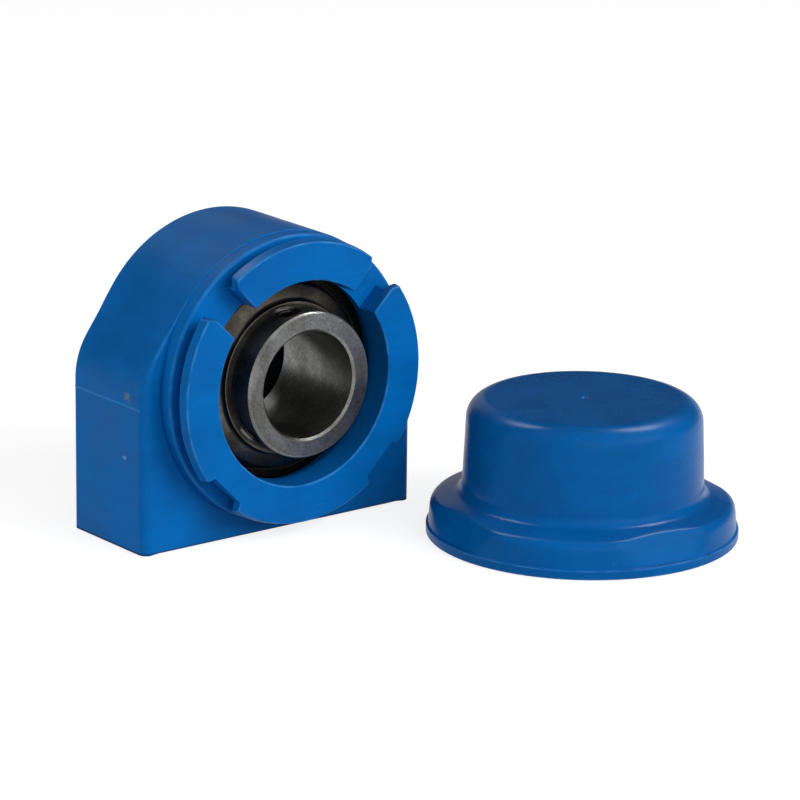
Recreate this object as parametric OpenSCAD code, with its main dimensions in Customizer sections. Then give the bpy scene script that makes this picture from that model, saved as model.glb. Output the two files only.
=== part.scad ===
// Short pillow block with a tapped base and a sphered insert ball bearing.
// Its push-on end cover is taken off and lies beside it, open side down.
// X runs along the base, Y along the shaft with the front at -Y, and Z is up.
// The origin is on the base, straight below the centre of the bearing.

/* [Block] */
// Length of the base
base_l = 76; // [72:0.5:90]
// Depth of the block from its front face to its back face
base_d = 27.4; // [25:0.1:36]
// Height of the shaft axis above the base
shaft_h = 36.5; // [36:0.1:44]
// Distance of the front face from the bearing's mid-plane
face_reach = 8.6; // [8:0.1:12]
// Radius of the arch over the bearing
arch_r = 33.7; // [33:0.1:36]
// Height at which the sloping flanks would meet the side walls
shoulder_h = 41.3; // [38:0.1:48]
// Rounding between flank and side wall
shoulder_r = 17.3; // [4:0.1:22]
// Rounding of the upright edges at the front of the block
edge_r = 2; // [0.5:0.1:4]
// Rounding of the upright edges at the back of the block
back_edge_r = 0.6; // [0.3:0.1:3]

/* [Front ring] */
// Distance of the ring's front from the bearing's mid-plane
ring_reach = 18; // [17:0.1:19]
// Wall between the ring's bore and the outside of its lip
ring_wall = 9.4; // [7:0.1:10]
// How far the ring's bore closes over the bearing's outer ring
front_hold = 2.2; // [1:0.1:3]
// Height of the round boss on the front face
boss_h = 3.7; // [1.5:0.1:4.5]
// How far the boss stays inside the arch
boss_step = 0.2; // [0.1:0.1:1.4]
// Taper of the boss's wall
boss_draft = 0.1; // [0.1:0.1:1]
// Bevel round the front of the boss
boss_edge = 0.6; // [0.3:0.1:1.2]
// Width of the snap lip
lip_w = 2.6; // [1.5:0.1:3.5]
// Lead-in taper of the snap lip
lip_lead = 0.5; // [0.3:0.1:1.5]
// Depth of the groove behind the lip
groove_t = 3; // [2:0.1:3.5]
// Width of the two slots through the ring
slot_w = 8.4; // [5:0.1:12]
// How much wider each side of a slot is at the rim
slot_flare = 2; // [0.5:0.1:3]
// Width of the floor of the two notches in the lip
notch_w = 9.8; // [6:0.1:12]
// How much wider each side of a notch is at the rim
notch_flare = 1.5; // [0.5:0.1:2.5]

/* [Tapped base] */
// Distance between the two tapped holes
bolt_pitch = 50.8; // [46:0.1:56]
// Core diameter of the tapped holes
tap_d = 8.5; // [6.8:0.1:9]
// Outside diameter of the threaded inserts
sleeve_d = 12.4; // [11:0.1:14]
// Length of the threaded inserts
sleeve_h = 15; // [10:0.5:18]
// Depth of the holding groove round each insert
sleeve_groove = 0.7; // [0.3:0.1:1]
// Clearance above each insert for the end of its screw
tap_run = 3; // [1:0.5:6]

/* [Insert bearing] */
// Shaft bore
bore_d = 25; // [22:0.1:26]
// Diameter of the sphered outer ring
ring_od = 52; // [50.5:0.1:54]
// Width of the outer ring
ring_w = 15; // [14.6:0.1:16]
// Wall of the inner ring
collar_wall = 4.4; // [4:0.1:4.8]
// Reach of the inner ring to the front of the mid-plane
collar_reach = 19.5; // [18.5:0.1:22]
// Reach of the inner ring to the back of the mid-plane
tail_reach = 7.7; // [7:0.1:9]
// Ball diameter
ball_d = 7.938; // [7:0.001:8.4]
// How far the ball circle lies outside the middle between bore and outer ring
pitch_shift = 0.32; // [0:0.01:0.5]
// Number of balls
ball_n = 9; // [7:1:9]
// Depth of the ball track in the outer ring
track_t = 1.3; // [0.9:0.1:1.5]
// Track radius as a multiple of the ball radius
conformity = 1.04; // [1.02:0.01:1.08]
// Thickness of the bearing's own seals
seal_t = 1.2; // [0.8:0.1:1.4]
// Thickness of the flinger's sheet
flinger_t = 0.8; // [0.5:0.1:1]
// Diameter of the set screws
screw_d = 6; // [5:0.1:6.5]
// Distance of the set screws from the inner ring's front end
screw_inset = 4.8; // [4.2:0.1:5]
// Width across flats of the set screws' sockets
socket_af = 3; // [2:0.1:3.2]
// Clock positions of the set screws, seen from the front
screw_clock = [100, 220];

/* [Back seal] */
// How far the back bore closes over the bearing's outer ring
rear_hold = 1; // [0.6:0.1:2]
// Depth of the seal's seat in the back face
seal_depth = 4; // [3:0.1:5]
// Ledge between the back bore and the seal's seat
seal_ledge = 2; // [1.6:0.1:2.5]
// Thickness of the seal's web
web_t = 1.4; // [1:0.1:2]
// Width of the seal's lip on its outside
lip_out_w = 3; // [2.2:0.1:4]
// Width of the seal's lip on its inside
lip_in_w = 2; // [1:0.1:2.6]

/* [End cover] */
// Overall height of the cover
cover_h = 32; // [28:0.5:40]
// Outside diameter of the cup at its foot
cup_d = 55.4; // [50:0.1:57]
// How much the cup's wall leans in up to its top
cup_draft = 0.8; // [0.3:0.1:2]
// Rounding of the cup's top edge
cup_top_r = 5; // [3:0.5:9]
// Wall of the cup
cup_wall = 2.4; // [1.6:0.1:3]
// Wall of the skirt round the lip
skirt_wall = 2.5; // [2.2:0.1:4]
// Height of the skirt up to its shoulder
skirt_h = 8.8; // [8.4:0.1:11]
// Rounding of the skirt's shoulder
skirt_r = 2.4; // [1:0.1:3]
// Height of the bead along the rim
bead_h = 2.3; // [1.5:0.1:3]
// Step between the bead and the skirt
bead_step = 0.5; // [0.2:0.1:0.8]
// Slope of the flange's top
flange_slope = 16; // [5:1:25]
// Fillet between the flange and the cup
flange_r = 2.6; // [1:0.1:3.5]
// How far the snap bead reaches under the lip
snap_t = 0.6; // [0.3:0.1:1]
// Height of each slope of the snap bead
snap_rise = 0.8; // [0.5:0.1:1]
// Height of the snap bead's flat
snap_flat = 0.6; // [0.3:0.1:0.8]
// Distance of the cover's centre outside the end of the base
cover_side = 16.5; // [14:0.5:60]
// Distance of the cover's centre ahead of the ring's front
cover_ahead = 33.5; // [33:0.5:80]
// Turn of the cover on the ground
cover_turn = -6.5; // [-45:0.5:45]

/* [Clearances] */
// Play of the sphered ring in its seat
seat_gap = 0.05; // [0.02:0.01:0.1]
// Play of the balls in their tracks
ball_gap = 0.04; // [0.02:0.01:0.1]
// Play of the balls in the cage's pockets
pocket_gap = 0.12; // [0.08:0.01:0.25]
// Play between pieces that are held fast in each other
press_gap = 0.02; // [0.01:0.01:0.04]
// Play of the set screws in their holes
screw_gap = 0.05; // [0.02:0.01:0.08]
// Play of a seal's lip round what turns in it
lip_gap = 0.2; // [0.1:0.05:0.3]
// Play of the cover round the lip
cover_gap = 0.2; // [0.1:0.05:0.4]

/* [Hidden] */
$fn = 96;
eps = 0.01;
over = 1;
BLUE = [0.04, 0.38, 0.70];
STEEL = [0.62, 0.62, 0.60];
DARK_STEEL = [0.30, 0.30, 0.28];
RUBBER = [0.08, 0.08, 0.08];
POLYMER = [0.20, 0.19, 0.17];

// Block
side_x = base_l / 2;
face_y = -face_reach;
back_y = base_d - face_reach;
// Angle at which the flank touches the arch, measured at the shaft
flank_a = atan2(shoulder_h - shaft_h, side_x) + acos(arch_r / norm([side_x, shoulder_h - shaft_h]));
round_run = shoulder_r * tan(flank_a / 2);
wall_top = [side_x, shoulder_h - round_run];
// The flank lies a hair inside its two arcs, so that it crosses them and doesn't only touch them
flank_sink = 0.003 * [cos(flank_a), sin(flank_a)];
flank_foot = [side_x - round_run * sin(flank_a), shoulder_h + round_run * cos(flank_a)] - flank_sink;
flank_top = [arch_r * cos(flank_a), shaft_h + arch_r * sin(flank_a)] - flank_sink;

// Front ring
seat_r = ring_od / 2 + seat_gap;
mouth_r = ring_od / 2 - front_hold;
lip_r = mouth_r + ring_wall;
neck_r = lip_r - groove_t;
notch_floor = neck_r + 0.2;
boss_r = arch_r - boss_step;
ring_y = -ring_reach;
boss_y = face_y - boss_h;
lip_back_y = ring_y + lip_w;
SLOTS = [45, 135];
NOTCHES = [225, 315];

// Back of the block
rear_r = ring_od / 2 - rear_hold;
seal_seat_r = rear_r + seal_ledge;
seal_y = back_y - seal_depth;
loading_w = ring_w + 0.6;

// Insert bearing
bore_r = bore_d / 2;
collar_r = bore_r + collar_wall;
ball_r = ball_d / 2;
pitch_r = (bore_r + ring_od / 2) / 2 + pitch_shift;
land_r = pitch_r + ball_r - track_t;
track_r = ball_r * conformity;
bore_chamfer = 0.7;
edge_chamfer = 0.4;
seal_in = ring_w / 2 - seal_t - 0.6;
seal_rim_r = land_r + 1.1;
seal_gate_r = land_r + 0.5;
flinger_back = -ring_w / 2 - 0.8;
flinger_rise = 2.2;
flinger_r = land_r - 0.2;
screw_y = -collar_reach + screw_inset;
// The flinger's sleeve ends clear of the set screws' holes
flinger_front = screw_y + screw_d / 2 + screw_gap;
screw_r = screw_d / 2 - screw_gap;
screw_tip = bore_r + 0.3;
screw_top = collar_r - 0.5;
socket_t = 1.8;
cage_mid = (collar_r + land_r) / 2;
cage_t = 0.56 * (land_r - collar_r);
cage_back = ball_r + pocket_gap + 0.9;
cage_front = -1.2;

// End cover
rim_r = lip_r + cover_gap + skirt_wall;
cover_x = side_x + cover_side;
cover_y = ring_y - cover_ahead;
lip_room = ring_reach - (face_reach + boss_h) - cover_gap;
skirt_foot_r = rim_r - bead_step;
skirt_top_r = skirt_foot_r - 0.5;
cup_r = cup_d / 2;
lug_t = lip_r - notch_floor - cover_gap;
LUGS = [0, 90, 180, 270];
facet_low = skirt_foot_r - 0.65;
facet_lean = 25;

// Turns a shape drawn along Z so that it lies along the shaft, with Z to the back
module on_shaft() {
  translate([0, 0, shaft_h]) rotate([-90, 0, 0]) children();
}

// Turns a shape drawn along X so that it points to a clock angle round the shaft, seen from the front
module at_clock(angle) {
  translate([0, 0, shaft_h]) rotate([0, -angle, 0]) children();
}

// Outline of the block seen from the front
module block_outline() {
  half = [[side_x, 0], wall_top, flank_foot, flank_top];
  polygon(concat(half, [for (i = [len(half) - 1:-1:0]) [-half[i][0], half[i][1]]]));
  translate([0, shaft_h]) circle(r = arch_r);
  for (side = [-1, 1])
    translate([side * (side_x - shoulder_r), wall_top[1]]) circle(r = shoulder_r);
}

// What is cut off an upright edge to round it, with the edge at the origin and the block at -X and +Y
module edge_cut(round) {
  difference() {
    translate([-round, -over, -over]) cube([round + over, round + over, shoulder_h + 2 * over]);
    translate([-round, round, -2 * over]) cylinder(r = round, h = shoulder_h + 4 * over);
  }
}

// Boss, neck and snap lip of the front ring as half a section, with Z to the back
module ring_section() {
  front_r = boss_r - boss_draft;
  polygon([[0, face_y + edge_r], [boss_r, face_y + edge_r], [boss_r, face_y], [front_r, boss_y + boss_edge],
           [front_r - boss_edge, boss_y], [neck_r, boss_y], [neck_r, lip_back_y], [lip_r, lip_back_y],
           [lip_r - lip_lead, ring_y], [0, ring_y]]);
}

// Spherical seat with its mouth, the back bore, the seat of the back seal and the loading slots
module bearing_room() {
  on_shaft() {
    sphere(r = seat_r);
    translate([0, 0, ring_y - over]) cylinder(r = mouth_r, h = ring_reach + over);
    cylinder(r = rear_r, h = back_y + over);
    translate([0, 0, seal_y]) cylinder(r = seal_seat_r, h = seal_depth + over);
    translate([-seat_r - seat_gap, -loading_w / 2, 0]) cube([2 * (seat_r + seat_gap), loading_w, seal_y + eps]);
  }
}

// Outside of a threaded insert as half a section, grown by a clearance
module sleeve_section(grow) {
  r = sleeve_d / 2 + grow;
  g = r - sleeve_groove;
  polygon([[0, -grow], [r, -grow], [r, sleeve_h * 0.35], [g, sleeve_h * 0.4], [g, sleeve_h * 0.6],
           [r, sleeve_h * 0.65], [r, sleeve_h + grow], [0, sleeve_h + grow]]);
}

module housing() {
  color(BLUE) difference() {
    union() {
      translate([0, back_y, 0]) rotate([90, 0, 0]) linear_extrude(base_d) block_outline();
      on_shaft() rotate_extrude() ring_section();
    }
    for (side = [0, 1])
      mirror([side, 0, 0]) {
        translate([side_x, face_y, 0]) edge_cut(edge_r);
        translate([side_x, back_y, 0]) mirror([0, 1, 0]) edge_cut(back_edge_r);
      }
    bearing_room();
    for (angle = SLOTS)
      at_clock(angle)
        translate([0, boss_y, 0]) rotate([90, 0, 0]) linear_extrude(boss_y - ring_y + over)
          slot_section();
    for (angle = NOTCHES)
      at_clock(angle)
        translate([0, boss_y, 0]) rotate([90, 0, 0]) linear_extrude(boss_y - ring_y + over)
          notch_section(notch_floor, notch_w / 2, notch_flare);
    for (side = [-1, 1])
      translate([side * bolt_pitch / 2, 0, 0]) {
        rotate_extrude() sleeve_section(press_gap);
        cylinder(d = tap_d + 1, h = sleeve_h + tap_run);
      }
  }
}

// Section of a slot through the ring, flaring where it passes the lip
module slot_section() {
  start = mouth_r - slot_w / 2;
  half = slot_w / 2;
  wide = half + slot_flare;
  polygon([[start, -half], [notch_floor, -half], [lip_r, -wide], [lip_r + over, -wide],
           [lip_r + over, wide], [lip_r, wide], [notch_floor, half], [start, half]]);
}

// Section of a notch in the lip or of a lug of the cover that fits it
module notch_section(floor_r, half, flare) {
  wide = half + flare;
  polygon([[floor_r, -half], [lip_r, -wide], [lip_r + over, -wide], [lip_r + over, wide], [lip_r, wide], [floor_r, half]]);
}

module threaded_insert(side) {
  color(STEEL) translate([side * bolt_pitch / 2, 0, 0]) rotate_extrude() difference() {
    sleeve_section(0);
    translate([0, -over]) square([tap_d / 2, sleeve_h + 2 * over]);
    polygon([[0, -over], [tap_d / 2 + 0.8 + over, -over], [tap_d / 2, 0.8], [0, 0.8]]);
  }
}

module back_seal() {
  rim_out = seal_seat_r - press_gap;
  rim_in = rear_r - 1.2;
  lip_in = bore_r + lip_gap;
  front = seal_y + press_gap;
  back = back_y - 0.3;
  mid = (front + back) / 2;
  color(RUBBER) on_shaft() rotate_extrude()
    polygon([[rim_out, front], [rim_out, back - 0.5], [rim_out - 0.5, back], [rim_in, back],
             [rim_in - 0.8, mid + web_t / 2], [lip_in + lip_out_w, mid + web_t / 2], [lip_in + 0.8, back],
             [lip_in, back], [lip_in, back - 0.6], [lip_in + lip_in_w, mid - web_t / 2],
             [rim_in - 0.8, mid - web_t / 2], [rim_in, front]]);
}

// Outside of the end cover as half a section standing on its rim
module cover_outside() {
  bend_c = [skirt_top_r - skirt_r, skirt_h - skirt_r];
  slope_low = bend_c + skirt_r * [sin(flange_slope), cos(flange_slope)];
  fillet_c_r = cup_r + flange_r;
  fillet_z = slope_low[1] + (slope_low[0] - fillet_c_r) * tan(flange_slope) + flange_r / cos(flange_slope);
  slope_high = [fillet_c_r, fillet_z] - flange_r * [sin(flange_slope), cos(flange_slope)];
  top_z = cover_h - cup_top_r;
  top_r = cup_r - cup_draft;
  square([rim_r, bead_h - 0.3]);
  polygon([[0, 0], [rim_r - 0.3, 0], [rim_r - 0.3, bead_h], [skirt_foot_r, bead_h], [skirt_top_r, bend_c[1]],
           bend_c, slope_low, slope_high, [cup_r, slope_high[1]], [cup_r, fillet_z], [top_r, top_z],
           [top_r - cup_top_r, top_z], [top_r - cup_top_r, cover_h], [0, cover_h]]);
  translate(bend_c) circle(r = skirt_r);
  translate([top_r - cup_top_r, top_z]) circle(r = cup_top_r);
  difference() {
    polygon([[cup_r - over, fillet_z], [fillet_c_r, fillet_z], slope_high, [cup_r - over, slope_high[1]]]);
    translate([fillet_c_r, fillet_z]) circle(r = flange_r);
  }
}

// Inside of the end cover as half a section: room for the lip, with the snap bead left standing, and the cup
module cover_inside() {
  room_r = lip_r + cover_gap;
  bead_r = lip_r - snap_t;
  in_r = cup_r - cup_wall;
  in_top_r = in_r - cup_draft;
  in_round = cup_top_r - cup_wall;
  in_top = cover_h - cup_wall;
  bead_top = snap_rise + snap_flat;
  polygon([[0, -over], [room_r, -over], [room_r, 0], [bead_r, snap_rise], [bead_r, bead_top],
           [room_r, bead_top + snap_rise], [room_r, lip_room - lip_w], [room_r - lip_lead, lip_room], [0, lip_room]]);
  polygon([[0, 0], [in_r, 0], [in_r, lip_room], [in_top_r, in_top - in_round], [in_top_r - in_round, in_top - in_round],
           [in_top_r - in_round, in_top], [0, in_top]]);
  translate([in_top_r - in_round, in_top - in_round]) circle(r = in_round);
}

module end_cover() {
  color(BLUE) translate([cover_x, cover_y, 0]) rotate([0, 0, cover_turn]) difference() {
    union() {
      rotate_extrude() difference() {
        cover_outside();
        cover_inside();
      }
      for (angle = LUGS)
        rotate([0, 0, angle]) translate([0, 0, 0.6]) linear_extrude(lip_room - 0.6 + eps)
          intersection() {
            notch_section(lip_r - lug_t, notch_w / 2 - cover_gap, notch_flare);
            circle(r = lip_r + cover_gap + eps);
          }
    }
    for (angle = LUGS)
      rotate([0, 0, angle]) translate([facet_low, -rim_r / 2, bead_h]) rotate([0, -facet_lean, 0])
        cube([rim_r / 2, rim_r, skirt_h * 2]);
    translate([0, 0, cover_h - 0.3]) cylinder(r1 = 0.4, r2 = 0.9, h = 0.3 + eps);
  }
}

module outer_ring() {
  color(DARK_STEEL) on_shaft() difference() {
    intersection() {
      sphere(r = ring_od / 2);
      cylinder(r = ring_od, h = ring_w, center = true);
    }
    cylinder(r = land_r, h = ring_w + 2 * over, center = true);
    rotate_extrude() translate([pitch_r + ball_r + ball_gap - track_r, 0]) circle(r = track_r);
    for (side = [-1, 1])
      mirror([0, 0, side < 0 ? 1 : 0]) {
        translate([0, 0, seal_in]) cylinder(r = seal_rim_r, h = seal_t);
        translate([0, 0, seal_in]) cylinder(r = seal_gate_r, h = ring_w);
      }
  }
}

// Rubber seal on a steel disc, snapped into the outer ring, drawn for the back of the bearing
module bearing_seal() {
  out = seal_rim_r - press_gap;
  low = seal_in + press_gap;
  high = seal_in + seal_t - press_gap;
  lip = collar_r + lip_gap;
  color(RUBBER) rotate_extrude()
    polygon([[out, low], [out, high], [seal_gate_r - 0.3, high], [seal_gate_r - 0.9, high + 0.3],
             [lip + 1.3, high + 0.3], [lip, high - 0.4], [lip, low + 0.2], [lip + 1, low]]);
}

module front_seal() {
  on_shaft() mirror([0, 0, 1]) bearing_seal();
}

module rear_seal() {
  on_shaft() bearing_seal();
}

module inner_ring() {
  front = -collar_reach;
  back = tail_reach;
  color(STEEL) difference() {
    on_shaft() difference() {
      rotate_extrude()
        polygon([[bore_r + bore_chamfer, front], [collar_r - edge_chamfer, front], [collar_r, front + edge_chamfer],
                 [collar_r, back - edge_chamfer], [collar_r - edge_chamfer, back], [bore_r + bore_chamfer, back],
                 [bore_r, back - bore_chamfer], [bore_r, front + bore_chamfer]]);
      rotate_extrude() translate([pitch_r - ball_r - ball_gap + track_r, 0]) circle(r = track_r);
    }
    for (angle = screw_clock)
      at_clock(angle)
        translate([bore_r - over, screw_y, 0]) rotate([0, 90, 0]) cylinder(d = screw_d, h = collar_wall + 2 * over);
  }
}

// Dished sheet ring pressed on the collar in front of the seal
module flinger() {
  in = collar_r + press_gap;
  foot = flinger_back - flinger_rise;
  color(DARK_STEEL) on_shaft() rotate_extrude()
    polygon([[in, flinger_front], [in + flinger_t, flinger_front], [in + flinger_t, foot],
             [flinger_r - flinger_t, flinger_back - flinger_t], [flinger_r, flinger_back],
             [flinger_r - flinger_t, flinger_back], [in + flinger_t, foot + flinger_t], [in, foot + flinger_t]]);
}

module set_screw(index) {
  color(DARK_STEEL) at_clock(screw_clock[index])
    translate([screw_tip, screw_y, 0]) rotate([0, 90, 0]) difference() {
      rotate_extrude()
        polygon([[0, 0.5], [0.8, 0], [screw_r - 0.9, 0], [screw_r, 0.9], [screw_r, screw_top - screw_tip - 0.3],
                 [screw_r - 0.3, screw_top - screw_tip], [0, screw_top - screw_tip]]);
      translate([0, 0, screw_top - screw_tip - socket_t])
        cylinder(d = socket_af / cos(30), h = socket_t + over, $fn = 6);
    }
}

// Clock angle of a ball, counted from the top
function ball_clock(index) = 90 + (index - 1) * 360 / ball_n;

module ball(index) {
  if (index <= ball_n)
    color(STEEL) at_clock(ball_clock(index)) translate([pitch_r, 0, 0]) sphere(r = ball_r);
}

// Snap cage: a ring behind the balls with open pockets that grip them
module cage() {
  color(POLYMER) difference() {
    on_shaft() translate([0, 0, cage_front]) difference() {
      cylinder(r = cage_mid + cage_t / 2, h = cage_back - cage_front);
      translate([0, 0, -over]) cylinder(r = cage_mid - cage_t / 2, h = cage_back - cage_front + 2 * over);
    }
    for (index = [1:ball_n])
      at_clock(ball_clock(index)) translate([pitch_r, 0, 0]) sphere(r = ball_r + pocket_gap);
  }
}

housing();
threaded_insert(-1);  // threaded_insert_left
threaded_insert(1);  // threaded_insert_right
back_seal();
end_cover();
outer_ring();
front_seal();
rear_seal();
inner_ring();
flinger();
set_screw(0);  // set_screw_1
set_screw(1);  // set_screw_2
cage();
ball(1);  // ball_1
ball(2);  // ball_2
ball(3);  // ball_3
ball(4);  // ball_4
ball(5);  // ball_5
ball(6);  // ball_6
ball(7);  // ball_7
ball(8);  // ball_8
ball(9);  // ball_9
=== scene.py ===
"""Looks of a short pillow block, its insert bearing and its end cover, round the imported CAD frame."""
import math

import bmesh
import bpy
import numpy as np
from mathutils import Matrix, Vector


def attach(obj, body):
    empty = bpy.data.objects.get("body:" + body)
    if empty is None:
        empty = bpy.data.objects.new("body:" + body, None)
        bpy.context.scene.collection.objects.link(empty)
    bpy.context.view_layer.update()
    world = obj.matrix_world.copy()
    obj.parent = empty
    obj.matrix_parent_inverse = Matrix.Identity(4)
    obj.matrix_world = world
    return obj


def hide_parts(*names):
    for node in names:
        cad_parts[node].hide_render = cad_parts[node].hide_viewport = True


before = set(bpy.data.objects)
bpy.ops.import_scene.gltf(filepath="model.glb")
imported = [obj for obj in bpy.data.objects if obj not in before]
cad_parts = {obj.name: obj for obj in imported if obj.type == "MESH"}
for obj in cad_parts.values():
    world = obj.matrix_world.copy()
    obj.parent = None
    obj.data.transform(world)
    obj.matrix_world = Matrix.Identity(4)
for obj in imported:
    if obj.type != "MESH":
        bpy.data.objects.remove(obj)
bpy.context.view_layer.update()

MM = 0.001
SHARP_ANGLE = math.radians(38)

# Block, in millimetres
SHAFT_H = 36.5
SIDE_X, FACE_Y, BACK_Y = 38.0, -8.6, 18.8
ARCH_R, SHOULDER_H, SHOULDER_R = 33.7, 41.3, 17.3
CORNER_R, RIM_R, SOLE_R, BACK_R = 2.0, 0.8, 0.6, 0.5
ARCH_EDGE_R = 0.06
PARTING_Z, PARTING_T, PARTING_W = 33.8, 0.12, 0.2

# Front ring
MOUTH_R, LIP_R, NECK_R = 23.8, 33.2, 30.2
LIP_LEAD, LIP_BACK_Y, RING_Y, BOSS_Y = 0.5, -15.4, -18.0, -12.3
BOSS_R, BOSS_DRAFT, BOSS_ROUND = 33.5, 0.1, 0.8
SLOT_HALF, SLOT_FLARE = 4.2, 2.0
NOTCH_FLOOR, NOTCH_HALF, NOTCH_FLARE = 30.4, 4.9, 1.5
SLOTS, NOTCHES = (45.0, 135.0), (225.0, 315.0)
WALL_ROUND = 0.35
WORN_R = 0.6
FACE_ROWS = (0.12, 0.4, 0.7, 0.985)

# Back and base
SEAT_R, REAR_R, SEAL_SEAT_R, SEAL_Y = 26.05, 25.0, 27.0, 14.8
BOLT_X, POCKET_R, POCKET_H, POCKET_EDGE = 25.4, 6.22, 15.02, 6.6

# Insert bearing
BORE_R, COLLAR_R, COLLAR_Y, TAIL_Y = 12.5, 16.9, -19.5, 7.7
PITCH_R, BALL_R, TRACK_R, LAND_R = 19.57, 3.969, 4.128, 22.24
RING_R, RING_HALF = 26.0, 7.5
BORE_CHAMFER, TAIL_CHAMFER, EDGE_CHAMFER = 0.5, 0.7, 0.4
SCREW_CLOCK, SCREW_Y, SCREW_HOLE_R = (100.0, 220.0), -14.7, 3.0
SCREW_TIP, SCREW_TOP = 12.8, 16.4

# End cover
COVER_X, COVER_Y, COVER_TURN = 54.5, -51.5, -6.5
FLAT_R, FLAT_Z, FLAT_LEAN, FLAT_BLEND = 34.75, 2.3, math.radians(22), 3
LUG_R, LUG_HALF, LUG_FLARE, LUG_RUN = 30.6, 4.7, 1.5, 2.6


def rounded(points, radii, steps=6, closed=False):
    """Polyline with each corner replaced by a tangent arc that starts r tan(turn / 2) before the corner."""
    pts = np.asarray(points, float)
    count = len(pts)
    out = []
    for i, radius in enumerate(radii):
        here = pts[i]
        if radius <= 0 or (not closed and i in (0, count - 1)):
            out.append(here[None])
            continue
        back = pts[i - 1] - here
        ahead = pts[(i + 1) % count] - here
        back_n, ahead_n = back / np.hypot(*back), ahead / np.hypot(*ahead)
        half = math.acos(float(np.clip(back_n @ ahead_n, -1, 1))) / 2
        run = radius / math.tan(half)
        bisector = (back_n + ahead_n) / np.hypot(*(back_n + ahead_n))
        centre = here + bisector * radius / math.sin(half)
        start, end = here + back_n * run - centre, here + ahead_n * run - centre
        turn = math.atan2(start[0] * end[1] - start[1] * end[0], start @ end)
        angle = math.atan2(start[1], start[0]) + np.linspace(0, turn, steps + 1)
        out.append(centre + radius * np.stack([np.cos(angle), np.sin(angle)], 1))
    return np.concatenate(out)


def arc(centre, radius, start, end, steps):
    """Points of a circle from one angle to another, in degrees."""
    angle = np.radians(np.linspace(start, end, steps + 1))
    return np.asarray(centre) + radius * np.stack([np.cos(angle), np.sin(angle)], 1)


def on_shaft(r, angle, y):
    """Points about the shaft: x = r cos a, z = shaft height + r sin a, and y along the shaft."""
    r, angle, y = np.broadcast_arrays(r, angle, y)
    return np.stack([r * np.cos(angle), y, SHAFT_H + r * np.sin(angle)], -1)


def grid_quads(cols, rows, wrap_cols=False, wrap_rows=False, first=0):
    """Quads of a grid whose vertex number is column times rows plus row."""
    ids = first + np.arange(cols * rows).reshape(cols, rows)
    if wrap_cols:
        ids = np.concatenate([ids, ids[:1]], 0)
    if wrap_rows:
        ids = np.concatenate([ids, ids[:, :1]], 1)
    return np.stack([ids[:-1, :-1], ids[1:, :-1], ids[1:, 1:], ids[:-1, 1:]], -1).reshape(-1, 4)


def box_loop(across, along):
    """Points once round the edge of a rectangle, from its first corner."""
    return np.concatenate([np.stack([across, 0 * across + along[0]], 1)[:-1],
                           np.stack([0 * along + across[-1], along], 1)[:-1],
                           np.stack([across, 0 * across + along[-1]], 1)[:0:-1],
                           np.stack([0 * along + across[0], along], 1)[:0:-1]])


class Shell:
    """Surfaces gathered for one piece, in millimetres, to be sewn together along the edges they share."""

    def __init__(self):
        self.points, self.faces, self.count = [], [], 0

    def grid(self, points, wrap_cols=False, wrap_rows=False, keep=None):
        """Adds a grid of points, columns first, leaving out the quads that keep marks as false."""
        cols, rows = points.shape[:2]
        quads = grid_quads(cols, rows, wrap_cols, wrap_rows, self.count)
        if keep is not None:
            quads = quads[keep.ravel()]
        self.points.append(points.reshape(-1, 3))
        self.faces.extend(quads.tolist())
        self.count += cols * rows

    def cap(self, loop):
        """Adds one flat face round a loop of points."""
        self.points.append(np.asarray(loop))
        self.faces.append(list(range(self.count, self.count + len(loop))))
        self.count += len(loop)

    def piece(self, name, body, slot, material, nodes):
        """Sews the shell, turns its faces outwards and hangs it on its body.

        The attribute edge is 1 where an edge is rounded to less than WORN_R: the bend of a strip, divided by
        its width, is 1 / radius.
        """
        mesh = bpy.data.meshes.new(name)
        mesh.from_pydata((np.concatenate(self.points) * MM).tolist(), [], self.faces)
        sewn = bmesh.new()
        sewn.from_mesh(mesh)
        bmesh.ops.remove_doubles(sewn, verts=sewn.verts, dist=2e-6)
        bmesh.ops.dissolve_degenerate(sewn, edges=sewn.edges, dist=1e-7)
        bmesh.ops.recalc_face_normals(sewn, faces=sewn.faces)
        worn = sewn.faces.layers.float.new("edge")
        for face in sewn.faces:
            bends = [edge.calc_face_angle_signed(0) for edge in face.edges]
            spans = [edge.calc_length() for edge in face.edges]
            if len(spans) == 4:
                curl = max(min(bends[k], bends[k + 2]) * (spans[k] + spans[k + 2]) / 2 for k in (0, 1))
                face[worn] = min(max(curl, 0) * WORN_R * MM / max(face.calc_area(), 1e-12), 1)
        sewn.to_mesh(mesh)
        sewn.free()
        mesh.shade_smooth()
        mesh.set_sharp_from_angle(angle=SHARP_ANGLE)
        made = bpy.data.objects.new(name, mesh)
        bpy.context.scene.collection.objects.link(made)
        weighted = made.modifiers.new("even_shading", "WEIGHTED_NORMAL")
        weighted.keep_sharp = True
        made.data.materials.append(material)
        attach(made, body)
        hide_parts(*nodes)


def turned(profile, count=256):
    """Shell of a closed section, as radius and place along the shaft, turned once round the shaft."""
    shell = Shell()
    angle = np.linspace(0, 2 * math.pi, count, endpoint=False)[:, None]
    shell.grid(on_shaft(profile[None, :, 0], angle, profile[None, :, 1]), wrap_cols=True, wrap_rows=True)
    return shell


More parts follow.
